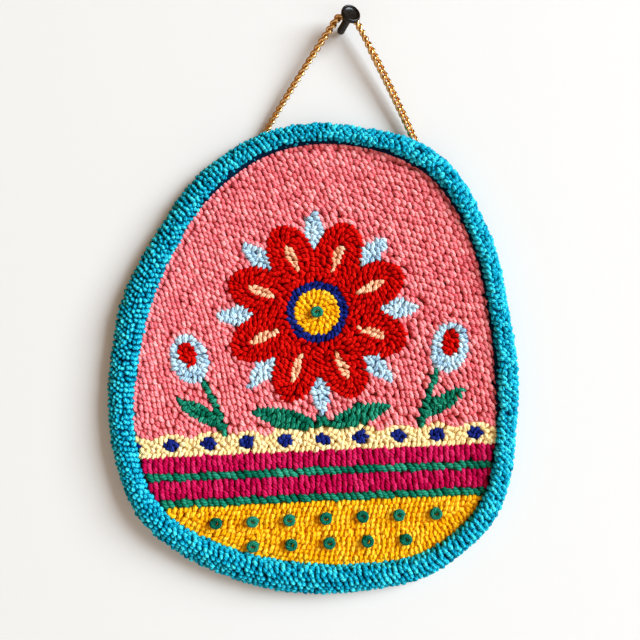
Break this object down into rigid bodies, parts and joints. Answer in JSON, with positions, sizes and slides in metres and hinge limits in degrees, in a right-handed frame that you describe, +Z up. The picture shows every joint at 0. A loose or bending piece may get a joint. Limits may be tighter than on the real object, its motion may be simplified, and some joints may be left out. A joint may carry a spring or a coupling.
{
  "type": "punch needle wall piece with its hanging chain and push pin",
  "caption": "Egg-shaped looped-yarn wall panel in a raised looped border, hung by a curb chain over a push pin.",
  "frame": {"origin": "where the push pin's rounded end meets the wall", "axes": "+Z up, +Y into the wall, +X to the right as seen from the room"},
  "size_m": [0.2598, 0.0202, 0.3686],
  "materials": {
    "looped_yarn": "punched wool-blend loops, matt",
    "border_yarn": "long punched loops, soft sheen",
    "tuft_yarn": "thick raised tufts, matt",
    "chain_metal": "gold plated, bright",
    "pin_plastic": "moulded, glossy"
  },
  "bodies": {
    "root": {"punched_panel": "looped_yarn", "border_roll": "border_yarn", "wall_pin": "pin_plastic", "chain_link_01": "chain_metal", "chain_link_02": "chain_metal", "chain_link_03": "chain_metal", "chain_link_04": "chain_metal", "chain_link_05": "chain_metal", "chain_link_06": "chain_metal", "chain_link_07": "chain_metal", "chain_link_08": "chain_metal", "chain_link_09": "chain_metal", "chain_link_10": "chain_metal", "chain_link_11": "chain_metal", "chain_link_12": "chain_metal", "chain_link_13": "chain_metal", "chain_link_14": "chain_metal", "chain_link_15": "chain_metal", "chain_link_16": "chain_metal", "chain_link_17": "chain_metal", "chain_link_18": "chain_metal", "chain_link_19": "chain_metal", "chain_link_20": "chain_metal", "chain_link_21": "chain_metal", "chain_link_22": "chain_metal", "chain_link_23": "chain_metal", "chain_link_24": "chain_metal", "chain_link_25": "chain_metal", "chain_link_26": "chain_metal", "chain_link_27": "chain_metal", "chain_link_28": "chain_metal", "chain_link_29": "chain_metal", "chain_link_30": "chain_metal", "chain_link_31": "chain_metal", "chain_link_32": "chain_metal", "chain_link_33": "chain_metal", "chain_link_34": "chain_metal", "chain_link_35": "chain_metal", "chain_link_36": "chain_metal", "chain_link_37": "chain_metal", "chain_link_38": "chain_metal", "chain_link_39": "chain_metal", "chain_link_40": "chain_metal", "chain_link_41": "chain_metal", "raised_knot_01": "tuft_yarn", "raised_knot_02": "tuft_yarn", "raised_knot_03": "tuft_yarn", "raised_knot_04": "tuft_yarn", "raised_knot_05": "tuft_yarn", "raised_knot_06": "tuft_yarn", "raised_knot_07": "tuft_yarn", "raised_knot_08": "tuft_yarn", "raised_knot_09": "tuft_yarn", "raised_knot_10": "tuft_yarn", "raised_knot_11": "tuft_yarn", "raised_knot_12": "tuft_yarn", "raised_knot_13": "tuft_yarn"}
  },
  "joints": []
}
